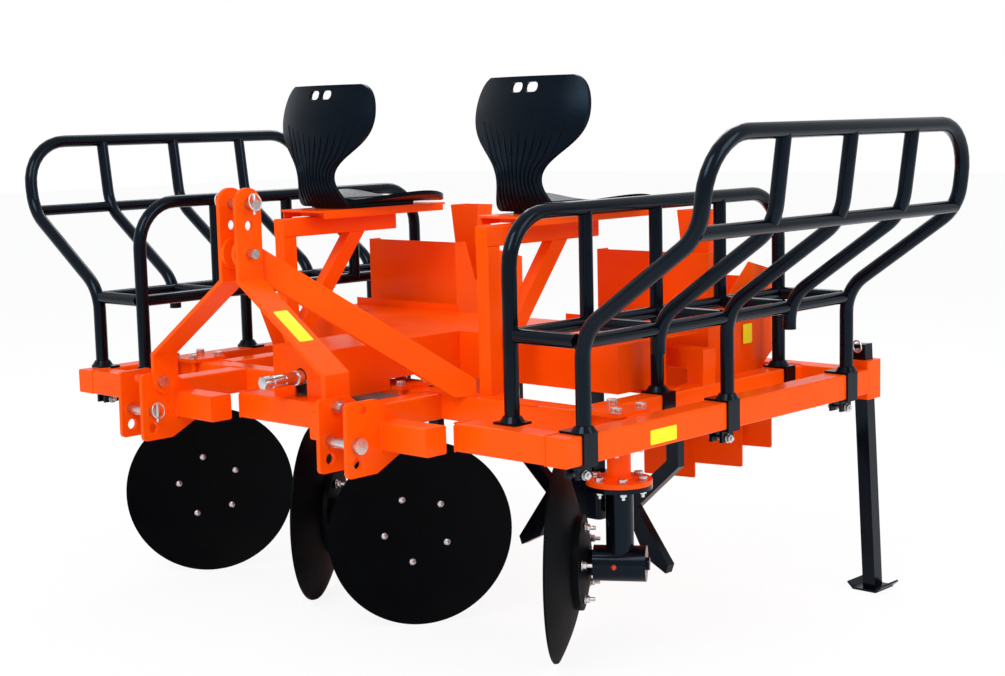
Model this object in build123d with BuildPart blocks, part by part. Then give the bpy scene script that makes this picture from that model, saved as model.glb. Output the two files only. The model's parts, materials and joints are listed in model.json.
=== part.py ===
from math import cos, hypot, radians, sin, sqrt, tan
import os

from build123d import *

# Two-row cassava planter on a three-point hitch, standing on its ridging
# discs and its two rear stands. Millimetres. Ground is Z 0, the hitch faces
# -Y, +X is the right-hand side seen from the hitch.

# Frame: square tube, all on one level
tube = 70
tube_wall = 6
frame_top = 638
frame_low = frame_top - tube
frame_mid = frame_top - tube / 2
frame_half = 981
front_y = -594
rear_y = 752
step_in = 203
step_out = 622
step_y = -693
cross_y = -290
rail_x = frame_half - tube / 2
inner_rail_x = frame_half - 239

# Three-point hitch
hitch_x = 412.5
plate_gap = 87
plate_t = 12
lower_pin_y = -771
lower_pin_z = 593
pin_d = 28
bore_clearance = 0.5
spare_z = 549
leg_bolt_y = -746
leg_bolt_z = 675
leg_bolt_d = 20

# Mast
mast_gap = 57
mast_width = 80
mast_y = -730
mast_top = 1204
top_pin_z = 1162
top_pin_d = 25
middle_z = 1108
brace_pin_z = 1036
bend_high = 964
bend_low = 748
mast_foot = 640
brace_height = 70

# Seat posts
seat_x = 409
post_w = 42
post_d = 50
post_y = -262
arm_top = 1087
arm_tall = 54
arm_end = 191
tray_z = 1102
tray_t = 6
tray_long = 520
tray_wide = 190
tray_y = 80

# Moulded seats facing the rear
seat_t = 12
rib_count = 10
rib_pitch = 13
rib_w = 6
rib_h = 5
hand_hole_rise = 337
# rise above the tray, rear face, half width, how far the wings come forward
back_rows = [
    (6, -86, 100, 8),
    (57, -117, 85, 7),
    (104, -126, 79, 8),
    (162, -120, 128, 20),
    (257, -108, 200, 44),
    (332, -88, 187, 38),
    (366, -79, 148, 26),
]
# distance along Y, half width, how far the edges turn up
pan_rows = [
    (-84, 100, 6),
    (-20, 120, 12),
    (60, 155, 22),
    (140, 184, 28),
    (210, 184, 24),
    (262, 160, 12),
    (290, 118, 3),
]

# Racks: round tube
rack_d = 38
rack_front = -518
rack_rear = 612
rack_inner_x = inner_rail_x
rack_outer_x = frame_half - 15
shelf_z = 852
hoop_top = 1159
flare_mid = 333
flare_top = 362
flare_mid_z = 1106
flare_top_z = 1343
bend_r = 100
foot_t = 6
foot_h = 14
foot_r = 31
foot_top = frame_top + foot_t + foot_h
ear_drop = 30

# Ridging discs and their legs
disc_r = 254
disc_t = 5
dish = 60
disc_turn = 57
hub_r = 120
hub_t = 16
hub_back = 22
hub_middle_r = 50
boss_r = 32
spindle_d = 40
spindle_in = 36
spindle_clearance = 0.15
spin_gap = 3
leg_outer_x = frame_half - 140.5
leg_inner_x = 84.5
leg_y = -239
leg_reach = 158
leg_d = 70
leg_post_d = 60
housing_d = 90
housing_half = 66
cap_d = 32
cap_t = 8
flange_d = 166
flange_t = 12
flange_z = 458

# Drive line
pto_z = 691
pto_d = 35
pto_tip = -677
pto_length = 112
pto_root = 41
cover_half = 112
cover_front = -545
cover_top = 771
cover_rear = -50
cross_half = inner_rail_x - tube / 2 - 19
cross_front = -50
cross_rear = 155
deck_rear = 292
sheet = 4

# Planter rows
row_x = 453
unit_inner = 290
unit_outer = inner_rail_x - 56
unit_front = 350
unit_top = 981
unit_rear = 661
funnel_x = 470
funnel_y = 615
funnel_wide = 125
funnel_long = 70
funnel_neck = 880
funnel_top = 1084

# Tines: a knee hangs from a strut and an arm runs from it down to a chisel
tine_y = 120
tine_t = 28
tine_w = 39
knee_out = 165
knee_z = 300
tip_out = 272
tip_z = 156
hanger_out = 270
hanger_z = 404
tine_body = 110
tine_body_low = 255
tine_body_high = 382

# Closing plates: centre out from the row, centre y, turn, width, lowest z
closer_t = 6
closer_rows = [
    (-118, 628, 12, 170, 268),
    (45, 652, 12, 160, 317),
    (112, 690, 12, 180, 378),
]

# Elbow posts beside the planter boxes
elbow_size = 56
elbow_y = 240
elbow_top = 735
elbow_reach = 130

# Rear stands
stand_y = 738
stand_splay = 3
stand_size = 40
stand_clearance = 1
stand_top = 706
foot_long = 96
socket_low = 552
socket_high = 662

os.makedirs("parts", exist_ok=True)
sides = (("left", -1), ("right", 1))

# Straight frame tubes that run front to back
# label, centre x, y start, y end, capped front
runs = []
for hand, side in sides:
    runs += [
        ("side_rail_" + hand, side * rail_x, front_y, stand_y - tube / 2),
        ("inner_rail_" + hand, side * inner_rail_x, cross_y + tube, rear_y - tube),
    ]
for label, x, y0, y1 in runs:
    with BuildPart() as run:
        with BuildSketch(Plane((x, y0, frame_mid), x_dir=(1, 0, 0), z_dir=(0, 1, 0))):
            RectangleRounded(tube, tube, 6)
        extrude(amount=y1 - y0)
        if "inner_rail" in label:
            start, depth = y0, y1 - y0
        else:
            start, depth = y0 + tube_wall, y1 - y0 - tube_wall
        with BuildSketch(Plane((x, start, frame_mid), x_dir=(1, 0, 0), z_dir=(0, 1, 0))):
            Rectangle(tube - 2 * tube_wall, tube - 2 * tube_wall)
        extrude(amount=depth, mode=Mode.SUBTRACT)
    run.part.label = label
    export_step(run.part, "parts/" + label + ".step")

# Straight frame tubes that run across
# label, x start, x end, centre y
spans = [
    ("cross_beam", -frame_half + tube, frame_half - tube, cross_y + tube / 2),
    ("rear_beam", -frame_half + tube, frame_half - tube, rear_y - tube / 2),
]
for label, x0, x1, y in spans:
    with BuildPart() as span:
        with BuildSketch(Plane((x0, y, frame_mid), x_dir=(0, 1, 0), z_dir=(1, 0, 0))):
            RectangleRounded(tube, tube, 6)
            Rectangle(tube - 2 * tube_wall, tube - 2 * tube_wall, mode=Mode.SUBTRACT)
        extrude(amount=x1 - x0)
    span.part.label = label
    export_step(span.part, "parts/" + label + ".step")

# Front beam in three lengths between the steps of the frame
with BuildPart() as beam:
    for x0, x1 in ((-frame_half + tube, -step_out), (-step_in, step_in), (step_out, frame_half - tube)):
        with BuildSketch(Plane((x0, front_y + tube / 2, frame_mid), x_dir=(0, 1, 0), z_dir=(1, 0, 0))):
            RectangleRounded(tube, tube, 6)
            Rectangle(tube - 2 * tube_wall, tube - 2 * tube_wall, mode=Mode.SUBTRACT)
        extrude(amount=x1 - x0)
beam.part.label = "front_beam"
export_step(beam.part, "parts/front_beam.step")

# Hitch frames: a short beam ahead of the front one between two long tubes
for hand, side in sides:
    with BuildPart() as step_frame:
        for x in (step_in + tube / 2, step_out - tube / 2):
            with BuildSketch(Plane((side * x, step_y, frame_mid), x_dir=(1, 0, 0), z_dir=(0, 1, 0))):
                RectangleRounded(tube, tube, 6)
            extrude(amount=cross_y - step_y)
        start = min(side * step_in, side * step_out)
        with BuildSketch(Plane((start, step_y + tube / 2, frame_mid), x_dir=(0, 1, 0), z_dir=(1, 0, 0))):
            RectangleRounded(tube, tube, 6)
        extrude(amount=step_out - step_in)
        for x in (step_in + tube / 2, step_out - tube / 2):
            with BuildSketch(Plane((side * x, step_y + tube_wall, frame_mid), x_dir=(1, 0, 0), z_dir=(0, 1, 0))):
                Rectangle(tube - 2 * tube_wall, tube - 2 * tube_wall)
            extrude(amount=cross_y - step_y - tube_wall, mode=Mode.SUBTRACT)
        with BuildSketch(Plane.XY.offset(frame_low)):
            for way in (-1, 1):
                with Locations((side * hitch_x + way * (plate_gap + plate_t) / 2, step_y + 40)):
                    Rectangle(plate_t, 90)
        extrude(amount=tube, mode=Mode.SUBTRACT)
    step_frame.part.label = "hitch_frame_" + hand
    export_step(step_frame.part, "parts/hitch_frame_" + hand + ".step")

# Hitch plates in pairs, their lower pins and the mast legs' bolts
for hand, side in sides:
    mid = side * hitch_x
    with BuildPart() as plates:
        for face in (mid - plate_gap / 2 - plate_t, mid + plate_gap / 2):
            with BuildSketch(Plane.YZ.offset(face)):
                with BuildLine():
                    FilletPolyline(
                        (-805, 515), (-709, 515), (-632, 552), (-625, frame_low),
                        (-625, frame_top), (-705, 698), (-803, 698), radius=12, close=True,
                    )
                make_face()
                with Locations((lower_pin_y, lower_pin_z), (lower_pin_y, spare_z)):
                    Circle(pin_d / 2 + bore_clearance, mode=Mode.SUBTRACT)
                with Locations((leg_bolt_y, leg_bolt_z)):
                    Circle(leg_bolt_d / 2 + bore_clearance, mode=Mode.SUBTRACT)
            extrude(amount=plate_t)
    plates.part.label = "hitch_plates_" + hand
    export_step(plates.part, "parts/hitch_plates_" + hand + ".step")

    with BuildPart() as pin:
        with BuildSketch(Plane.YZ.offset(mid - plate_gap / 2 - plate_t - 16)):
            with Locations((lower_pin_y, lower_pin_z)):
                Circle(pin_d / 2)
        extrude(amount=plate_gap + 2 * plate_t + 32)
        head = mid + side * (plate_gap / 2 + plate_t + 8)
        with BuildSketch(Plane.YZ.offset(head - 8)):
            with Locations((lower_pin_y, lower_pin_z)):
                Circle(pin_d / 2 + 6)
        extrude(amount=16)
    pin.part.label = "lower_pin_" + hand
    export_step(pin.part, "parts/lower_pin_" + hand + ".step")

# Mast: two flat bars, upright at the top, spread to the hitch plates below
for hand, side in sides:
    with BuildPart() as mast:
        inner = mast_gap / 2
        foot = hitch_x - plate_gap / 2 - plate_t
        with BuildSketch(Plane.XZ.offset(-mast_y - mast_width / 2)):
            with BuildLine():
                Polyline(
                    (side * inner, mast_top), (side * inner, bend_high),
                    (side * (foot - plate_t), bend_low), (side * (foot - plate_t), mast_foot),
                    (side * foot, mast_foot), (side * foot, bend_low + 5),
                    (side * (inner + plate_t), bend_high + 5), (side * (inner + plate_t), mast_top),
                    close=True,
                )
            make_face()
        extrude(amount=mast_width)
        with BuildSketch(Plane.YZ.offset(side * inner if side > 0 else -inner - plate_t)):
            with Locations((mast_y, top_pin_z), (mast_y, middle_z), (mast_y, brace_pin_z)):
                Circle(top_pin_d / 2 + bore_clearance)
        extrude(amount=plate_t, mode=Mode.SUBTRACT)
        with BuildSketch(Plane.YZ.offset(side * (foot - plate_t) if side > 0 else -foot)):
            with Locations((leg_bolt_y, leg_bolt_z)):
                Circle(leg_bolt_d / 2 + bore_clearance)
        extrude(amount=plate_t, mode=Mode.SUBTRACT)
        ends = mast.edges().filter_by(Axis.X)
        fillet(ends.sort_by(Axis.Z)[-2:], mast_width / 2 - 1)
        ends = mast.edges().filter_by(Axis.X)
        fillet(ends.sort_by(Axis.Z)[:2], mast_width / 2 - 1)
    mast.part.label = "mast_" + hand
    export_step(mast.part, "parts/mast_" + hand + ".step")

# Bolts that hold the mast legs to the inner hitch plates
with BuildPart() as bolts:
    for hand, side in sides:
        foot = hitch_x - plate_gap / 2 - plate_t
        with BuildSketch(Plane.YZ.offset(side * (foot - plate_t - 14))):
            with Locations((leg_bolt_y, leg_bolt_z)):
                Circle(15)
        extrude(amount=side * 14)
        with BuildSketch(Plane.YZ.offset(side * (foot - plate_t - 14))):
            with Locations((leg_bolt_y, leg_bolt_z)):
                Circle(leg_bolt_d / 2)
        extrude(amount=side * (14 + 2 * plate_t + 24))
        with BuildSketch(Plane.YZ.offset(side * (foot + plate_t))):
            with Locations((leg_bolt_y, leg_bolt_z)):
                RegularPolygon(17, 6)
        extrude(amount=side * 18)
bolts.part.label = "mast_bolts"
export_step(bolts.part, "parts/mast_bolts.step")

# Top link pin and the bolt that carries both braces
for label, z, reach in (("top_pin", top_pin_z, 32), ("brace_bolt", brace_pin_z, 22)):
    with BuildPart() as pin:
        with BuildSketch(Plane.YZ.offset(-mast_gap / 2 - plate_t - reach)):
            with Locations((mast_y, z)):
                Circle(top_pin_d / 2)
        extrude(amount=mast_gap + 2 * plate_t + 2 * reach)
        with BuildSketch(Plane.YZ.offset(-mast_gap / 2 - plate_t - 14)):
            with Locations((mast_y, z)):
                Circle(top_pin_d / 2 + 7)
        extrude(amount=14)
    pin.part.label = label
    export_step(pin.part, "parts/" + label + ".step")

# Flat braces: upright bars that leave the mast side by side, then spread to
# the feet of the seat posts
brace_t = 12
brace_bend = (mast_gap / 2 - brace_t / 2, -682)
brace_end = (seat_x - 28, post_y - 4)
spread = hypot(brace_end[0] - brace_bend[0], brace_end[1] - brace_bend[1])
ahead = brace_bend[1] - mast_y
fall = (brace_pin_z - frame_top) / (ahead + spread)
half = brace_height / 2 * sqrt(1 + fall ** 2)
bend_z = brace_pin_z - fall * ahead
for hand, side in sides:
    with BuildPart() as brace:
        with BuildSketch(Plane.XY.offset(frame_top)):
            with BuildLine():
                Polyline(
                    (side * brace_bend[0], mast_y - 60), (side * brace_bend[0], brace_bend[1]),
                    (side * brace_end[0], brace_end[1]),
                )
            trace(line_width=brace_t)
        extrude(amount=600)
        with BuildSketch(Plane.YZ.offset(-500)):
            with BuildLine():
                Polyline(
                    (mast_y, brace_pin_z + half), (brace_bend[1], bend_z + half),
                    (brace_end[1], frame_top + half), (brace_end[1], frame_top),
                    (brace_end[1] - 48, frame_top), (brace_bend[1], bend_z - half),
                    (mast_y, brace_pin_z - half), close=True,
                )
            make_face()
            with Locations((mast_y, brace_pin_z)):
                Circle(half)
                Circle(top_pin_d / 2 + bore_clearance, mode=Mode.SUBTRACT)
        extrude(amount=1000, mode=Mode.INTERSECT)
    brace.part.label = "brace_" + hand
    export_step(brace.part, "parts/brace_" + hand + ".step")

# Seat posts: column, arm, diagonal and the tray under the seat
for hand, side in sides:
    mid = side * seat_x
    with BuildPart() as column:
        with BuildSketch(Plane.XY.offset(frame_top)):
            with Locations((mid, post_y + post_d / 2)):
                RectangleRounded(post_w, post_d, 4)
        extrude(amount=arm_top - frame_top - arm_tall)
        with BuildSketch(Plane.XZ.offset(-post_y)):
            with Locations((mid, arm_top - arm_tall / 2)):
                RectangleRounded(post_w, arm_tall, 4)
        extrude(amount=-(arm_end - post_y))
        with BuildSketch(Plane.YZ.offset(mid - 18)):
            with BuildLine():
                Polyline(
                    (post_y + post_d - 2, 690), (post_y + post_d - 2, 760),
                    (0, arm_top - arm_tall + 2), (62, arm_top - arm_tall + 2), close=True,
                )
            make_face()
        extrude(amount=36)
        with BuildSketch(Plane.XY.offset(arm_top)):
            with Locations((mid, 40)):
                Rectangle(120, 330)
        extrude(amount=tray_z - arm_top)
        with BuildSketch(Plane.XY.offset(tray_z)):
            with Locations((mid, tray_y)):
                RectangleRounded(tray_wide, tray_long, 10)
        extrude(amount=tray_t)
        with BuildSketch(Plane.XY.offset(tray_z - 18)):
            for way in (-1, 1):
                with Locations((mid + way * (tray_wide / 2 - 3), tray_y)):
                    Rectangle(6, tray_long - 30)
        extrude(amount=18)
    column.part.label = "seat_post_" + hand
    export_step(column.part, "parts/seat_post_" + hand + ".step")

    # Moulded seat: a winged back lofted upwards, a pan lofted to the rear, ribs
    # from the small of the back down over the pan and two hand holes
    base = tray_z + tray_t
    pan_z = base + seat_t / 2
    with BuildPart() as seat:
        for rise, rear, wide, wing in back_rows:
            with BuildSketch(Plane.XY.offset(base + rise)):
                with BuildLine():
                    ThreePointArc((mid - wide, rear + wing), (mid, rear), (mid + wide, rear + wing))
                    Line((mid + wide, rear + wing), (mid + wide, rear + wing + seat_t))
                    ThreePointArc(
                        (mid + wide, rear + wing + seat_t), (mid, rear + seat_t),
                        (mid - wide, rear + wing + seat_t),
                    )
                    Line((mid - wide, rear + wing + seat_t), (mid - wide, rear + wing))
                make_face()
        loft()
        for y, wide, lip in pan_rows:
            with BuildSketch(Plane.XZ.offset(-y)):
                with BuildLine():
                    ThreePointArc((mid - wide, pan_z + lip), (mid, pan_z), (mid + wide, pan_z + lip))
                    Line((mid + wide, pan_z + lip), (mid + wide, pan_z + lip + seat_t))
                    ThreePointArc(
                        (mid + wide, pan_z + lip + seat_t), (mid, pan_z + seat_t),
                        (mid - wide, pan_z + lip + seat_t),
                    )
                    Line((mid - wide, pan_z + lip + seat_t), (mid - wide, pan_z + lip))
                make_face()
        loft()
        with BuildSketch(Plane.XY.offset(base)):
            with Locations((mid, tray_y)):
                Rectangle(tray_wide - 70, tray_long - 220)
        extrude(amount=seat_t)
        for i in range(rib_count):
            across = (i - (rib_count - 1) / 2) * rib_pitch
            face = []
            for rise, rear, wide, wing in back_rows[3:0:-1]:
                face.append((rear + seat_t + wing * (across / wide) ** 2 + rib_h, base + rise))
            top = (face[0][0] - rib_h, base + back_rows[3][0] + 20)
            floor = [
                (y, pan_z + seat_t + lip * (across / wide) ** 2 + rib_h)
                for y, wide, lip in pan_rows[1:5]
            ]
            corner = (back_rows[0][1] + seat_t + 2 * rib_h, floor[0][1] + rib_h)
            behind = [(y - rib_h - 4, z) for y, z in face]
            below = [(y, z - rib_h - 4) for y, z in floor]
            with BuildSketch(Plane.YZ.offset(mid + across - rib_w / 2)):
                with BuildLine():
                    Polyline(
                        top, *face, corner, *floor, *below[::-1],
                        (corner[0] - 2 * rib_h, below[0][1]), *behind[::-1], close=True,
                    )
                make_face()
        extrude(amount=rib_w)
        with BuildSketch(Plane.XZ.offset(200)):
            with Locations((mid - 26, base + hand_hole_rise), (mid + 26, base + hand_hole_rise)):
                RectangleRounded(44, 26, 11)
        extrude(amount=-260, mode=Mode.SUBTRACT)
    seat.part.label = "seat_" + hand
    export_step(seat.part, "parts/seat_" + hand + ".step")

# Crop racks of bent round tube along both sides
step = (rack_rear - rack_front) / 4
stations = [rack_front + step * i for i in range(5)]
for hand, side in sides:
    inner_x = side * rack_inner_x
    outer_x = side * rack_outer_x
    with BuildPart() as inner:
        with BuildLine() as hoop:
            FilletPolyline(
                (inner_x, rack_front, foot_top), (inner_x, rack_front, hoop_top - rack_d / 2),
                (inner_x, rack_rear, hoop_top - rack_d / 2), (inner_x, rack_rear, foot_top),
                radius=bend_r,
            )
        with BuildSketch(Plane(hoop.line @ 0, z_dir=hoop.line % 0)):
            Circle(rack_d / 2)
        sweep()
        for i, y in enumerate(stations[1:4]):
            low = foot_top if i == 1 else shelf_z
            with BuildSketch(Plane.XY.offset(low)):
                with Locations((inner_x, y)):
                    Circle(rack_d / 2 - 0.4)
            extrude(amount=hoop_top - rack_d / 2 - low)
        with BuildSketch(Plane.XZ.offset(-rack_front)):
            with Locations((inner_x, shelf_z)):
                Circle(rack_d / 2)
        extrude(amount=-(rack_rear - rack_front))
    inner.part.label = "rack_inner_" + hand
    export_step(inner.part, "parts/rack_inner_" + hand + ".step")

    # Shelf bars between the inner and the outer side
    with BuildPart() as shelf:
        for y in stations:
            with BuildSketch(Plane.YZ.offset(min(inner_x, outer_x))):
                with Locations((y, shelf_z)):
                    Circle(rack_d / 2 - 1)
            extrude(amount=abs(outer_x - inner_x))
        for x in (inner_x, outer_x):
            with BuildSketch(Plane.XZ.offset(-rack_front + 60)):
                with Locations((x, shelf_z)):
                    Circle(rack_d / 2)
            extrude(amount=-(rack_rear - rack_front + 120), mode=Mode.SUBTRACT)
            for y in stations:
                with BuildSketch(Plane.XY.offset(shelf_z - 60)):
                    with Locations((x, y)):
                        Circle(rack_d / 2)
                extrude(amount=120, mode=Mode.SUBTRACT)
    shelf.part.label = "rack_shelf_" + hand
    export_step(shelf.part, "parts/rack_shelf_" + hand + ".step")

    with BuildPart() as outer:
        high = flare_top_z - rack_d / 2
        flare = [
            (outer_x, foot_top), (outer_x, shelf_z + 22),
            (outer_x + side * flare_mid, flare_mid_z), (outer_x + side * flare_top, high),
        ]
        loop = [(x, rack_front, z) for x, z in flare] + [(x, rack_rear, z) for x, z in flare[::-1]]
        with BuildLine() as hoop:
            FilletPolyline(*loop, radius=bend_r)
        with BuildSketch(Plane(hoop.line @ 0, z_dir=hoop.line % 0)):
            Circle(rack_d / 2)
        sweep()
        for i, y in enumerate(stations[1:4]):
            low = foot_top if i == 1 else shelf_z
            with BuildLine() as upright:
                FilletPolyline((outer_x, y, low), *[(x, y, z) for x, z in flare[1:]], radius=20)
            with BuildSketch(Plane(upright.line @ 0, z_dir=upright.line % 0)):
                Circle(rack_d / 2 - 0.4)
            sweep()
        with BuildSketch(Plane.XZ.offset(-rack_front)):
            with Locations((outer_x, shelf_z), (outer_x + side * (flare_mid - 8), flare_mid_z + 2)):
                Circle(rack_d / 2 - 0.2)
        extrude(amount=-(rack_rear - rack_front))
    outer.part.label = "rack_outer_" + hand
    export_step(outer.part, "parts/rack_outer_" + hand + ".step")

    # Straps that clamp the racks on the frame tubes, their ears and the flared feet
    with BuildPart() as clamps:
        feet = [(rail_x, y) for y in stations[::2]] + [(inner_rail_x, y) for y in stations[2::2]]
        for x, y in feet:
            with BuildSketch(Plane.XZ.offset(-y - 25)):
                with Locations((side * (x + foot_t / 2), frame_mid)):
                    Rectangle(tube + foot_t, tube + 2 * foot_t)
                with Locations((side * x, frame_mid)):
                    Rectangle(tube, tube, mode=Mode.SUBTRACT)
                for way in (-1, 1):
                    with Locations((side * x + way * 16, frame_low - foot_t - ear_drop / 2)):
                        Rectangle(8, ear_drop)
            extrude(amount=50)
        with BuildSketch(Plane.XY.offset(frame_top)):
            with Locations(*[(outer_x, y) for y in stations[::2]]):
                Rectangle(44, 50)
            with Locations((inner_x, rack_front)):
                Rectangle(70, 60)
        extrude(amount=foot_t)
        spots = [(outer_x, y) for y in stations[::2]] + [(inner_x, y) for y in stations[::2]]
        for spot in spots:
            with BuildSketch(Plane.XY.offset(frame_top + foot_t)):
                with Locations(spot):
                    Circle(foot_r)
            with BuildSketch(Plane.XY.offset(foot_top)):
                with Locations(spot):
                    Circle(rack_d / 2 + 3)
            loft()
    clamps.part.label = "rack_clamps_" + hand
    export_step(clamps.part, "parts/rack_clamps_" + hand + ".step")

# Ridging discs with their legs
turn = radians(disc_turn)
# label, x of the leg, way the dish faces along x
disc_rows = [
    ("left_outer", -leg_outer_x, 1),
    ("left_inner", -leg_inner_x, -1),
    ("right_inner", leg_inner_x, 1),
    ("right_outer", leg_outer_x, -1),
]
sphere_r = (disc_r ** 2 + dish ** 2) / (2 * dish)
half_sag = sphere_r - sqrt(sphere_r ** 2 - (disc_r / 2) ** 2)
hub_sag = sphere_r - sqrt(sphere_r ** 2 - hub_r ** 2)
for label, x, facing in disc_rows:
    forward = Vector(facing * sin(turn), -cos(turn), 0)
    base = Vector(x, leg_y, disc_r)
    bowl = base + forward * (leg_reach - dish)
    with BuildPart() as disc:
        with BuildSketch(Plane(bowl, x_dir=(0, 0, 1), z_dir=Vector(0, 0, 1).cross(forward))):
            with BuildLine():
                ThreePointArc((0, 0), (disc_r / 2, half_sag), (disc_r, dish))
                Line((disc_r, dish), (disc_r - 1, dish - disc_t))
                ThreePointArc((disc_r - 1, dish - disc_t), (disc_r / 2, half_sag - disc_t), (0, -disc_t))
                Line((0, -disc_t), (0, 0))
            make_face()
            with BuildLine():
                Polyline(
                    (0, 1 - disc_t), (hub_r, hub_sag + 1 - disc_t),
                    (hub_r, hub_sag + 1 - disc_t - hub_t), (hub_middle_r, -hub_back),
                    (0, -hub_back), close=True,
                )
            make_face()
        revolve(axis=Axis(bowl, forward))
        hub_face = Plane(bowl - forward * (hub_back - 1), x_dir=(0, 0, 1), z_dir=-forward)
        with BuildSketch(hub_face):
            Circle(boss_r)
        extrude(amount=leg_reach - dish - housing_half - spin_gap - hub_back + 1)
        with BuildSketch(hub_face):
            Circle(spindle_d / 2)
        extrude(amount=leg_reach - dish + spindle_in - hub_back + 1)
    disc.part.label = "disc_" + label
    export_step(disc.part, "parts/disc_" + label + ".step")

    # Leg below the bolted joint: flange, tube, bearing housing and end cap
    with BuildPart() as leg:
        with BuildSketch(Plane(base + forward * housing_half, x_dir=(0, 0, 1), z_dir=-forward)):
            Circle(housing_d / 2)
        extrude(amount=2 * housing_half)
        with BuildSketch(Plane(base - forward * housing_half, x_dir=(0, 0, 1), z_dir=-forward)):
            Circle(cap_d / 2)
        extrude(amount=cap_t)
        with BuildSketch(Plane.XY.offset(disc_r)):
            with Locations((base.X, base.Y)):
                Circle(leg_d / 2)
        extrude(amount=flange_z - disc_r)
        with BuildSketch(Plane.XY.offset(flange_z - flange_t)):
            with Locations((base.X, base.Y)):
                Circle(flange_d / 2)
        extrude(amount=flange_t)
        with BuildSketch(Plane(base + forward * (housing_half + 8), x_dir=(0, 0, 1), z_dir=-forward)):
            Circle(spindle_d / 2 + spindle_clearance)
        extrude(amount=housing_half + 8 + spindle_in + spin_gap, mode=Mode.SUBTRACT)
    leg.part.label = "disc_leg_" + label
    export_step(leg.part, "parts/disc_leg_" + label + ".step")

# Posts under the cross beam that the disc legs bolt to
plate_y = cross_y + tube / 2
with BuildPart() as posts:
    for label, x, facing in disc_rows:
        with BuildSketch(Plane.XY.offset(flange_z)):
            with Locations((x, leg_y)):
                Circle(flange_d / 2)
        extrude(amount=flange_t)
        with BuildSketch(Plane.XY.offset(flange_z)):
            with Locations((x, leg_y)):
                Circle(leg_post_d / 2)
        extrude(amount=frame_low - flange_z)
        with BuildSketch(Plane.XY.offset(frame_low - flange_t)):
            with Locations((x, plate_y)):
                Rectangle(130, 120)
                with GridLocations(92, 96, 2, 2):
                    Circle(7.5, mode=Mode.SUBTRACT)
        extrude(amount=flange_t)
posts.part.label = "leg_posts"
export_step(posts.part, "parts/leg_posts.step")

# Plates on top of the cross beam with long bolts down to the leg plates
with BuildPart() as clamps:
    for label, x, facing in disc_rows:
        with BuildSketch(Plane.XY.offset(frame_top)):
            with Locations((x, plate_y)):
                Rectangle(130, 120)
        extrude(amount=10)
        spots = [(x + dx, plate_y + dy) for dx in (-46, 46) for dy in (-48, 48)]
        with BuildSketch(Plane.XY.offset(frame_low - 26)):
            with Locations(*spots):
                Circle(7)
        extrude(amount=frame_top + 10 - frame_low + 26)
        with BuildSketch(Plane.XY.offset(frame_top + 10)):
            with Locations(*spots):
                RegularPolygon(13, 6)
        extrude(amount=11)
clamps.part.label = "leg_clamps"
export_step(clamps.part, "parts/leg_clamps.step")

# Drive line: shaft, gearbox block, covers
with BuildPart() as shaft:
    with BuildSketch(Plane.XZ.offset(-pto_tip)):
        with Locations((0, pto_z)):
            Circle(pto_d / 2)
    extrude(amount=-pto_length)
    with BuildSketch(Plane.XZ.offset(-pto_tip - pto_length)):
        with Locations((0, pto_z)):
            Circle(pto_root / 2)
    extrude(amount=-(-422 - pto_tip - pto_length))
shaft.part.label = "pto_shaft"
export_step(shaft.part, "parts/pto_shaft.step")

with BuildPart() as gearbox:
    with BuildSketch(Plane.XY.offset(frame_top)):
        with Locations((0, -412)):
            Rectangle(150, 186)
    extrude(amount=112)
    with BuildSketch(Plane.XY.offset(frame_top - 18)):
        with Locations((0, -420)):
            Rectangle(2 * step_in, 100)
    extrude(amount=18)
    with BuildSketch(Plane.XZ.offset(510)):
        with Locations((0, pto_z)):
            Circle(pto_root / 2 + spindle_clearance)
    extrude(amount=-90, mode=Mode.SUBTRACT)
gearbox.part.label = "gearbox"
export_step(gearbox.part, "parts/gearbox.step")

with BuildPart() as cover:
    with BuildSketch(Plane.XY.offset(frame_top)):
        with Locations((0, (cover_front + cover_rear) / 2)):
            Rectangle(2 * cover_half, cover_rear - cover_front)
    extrude(amount=cover_top - frame_top)
    with BuildSketch(Plane.XY.offset(frame_top)):
        with Locations((0, (cover_front + cover_rear) / 2 + sheet / 2)):
            Rectangle(2 * cover_half - 2 * sheet, cover_rear - cover_front - sheet)
    extrude(amount=cover_top - frame_top - sheet, mode=Mode.SUBTRACT)
    with BuildSketch(Plane.XZ.offset(-cover_front + 5)):
        with Locations((0, (pto_z + frame_top) / 2)):
            Rectangle(48, pto_z - frame_top)
        with Locations((0, pto_z)):
            Circle(24)
    extrude(amount=-30, mode=Mode.SUBTRACT)
    with BuildSketch(Plane.YZ.offset(-cover_half)):
        with Locations((cross_y + tube / 2, frame_top + 15)):
            Rectangle(140, 30)
    extrude(amount=2 * cover_half, mode=Mode.SUBTRACT)
cover.part.label = "drive_cover"
export_step(cover.part, "parts/drive_cover.step")

with BuildPart() as housing:
    with BuildSketch(Plane.XY.offset(frame_top + 3)):
        with Locations((0, (cross_front + cross_rear) / 2)):
            Rectangle(2 * cross_half, cross_rear - cross_front)
    extrude(amount=cover_top - sheet - frame_top - 3)
    with BuildSketch(Plane.XY.offset(frame_top)):
        with Locations((-cross_half, 112), (cross_half, 112)):
            Rectangle(120, 50)
    extrude(amount=3)
housing.part.label = "chain_housing"
export_step(housing.part, "parts/chain_housing.step")

with BuildPart() as deck:
    with BuildSketch(Plane.XY.offset(cover_top - sheet)):
        with Locations((0, (cross_front + deck_rear) / 2)):
            Rectangle(2 * cross_half + 8, deck_rear - cross_front)
    extrude(amount=sheet)
    with BuildSketch(Plane.XY.offset(cover_top)):
        with Locations((-row_x, deck_rear - sheet / 2), (row_x, deck_rear - sheet / 2)):
            Rectangle(470, sheet)
    extrude(amount=22)
deck.part.label = "deck_plate"
export_step(deck.part, "parts/deck_plate.step")

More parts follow.
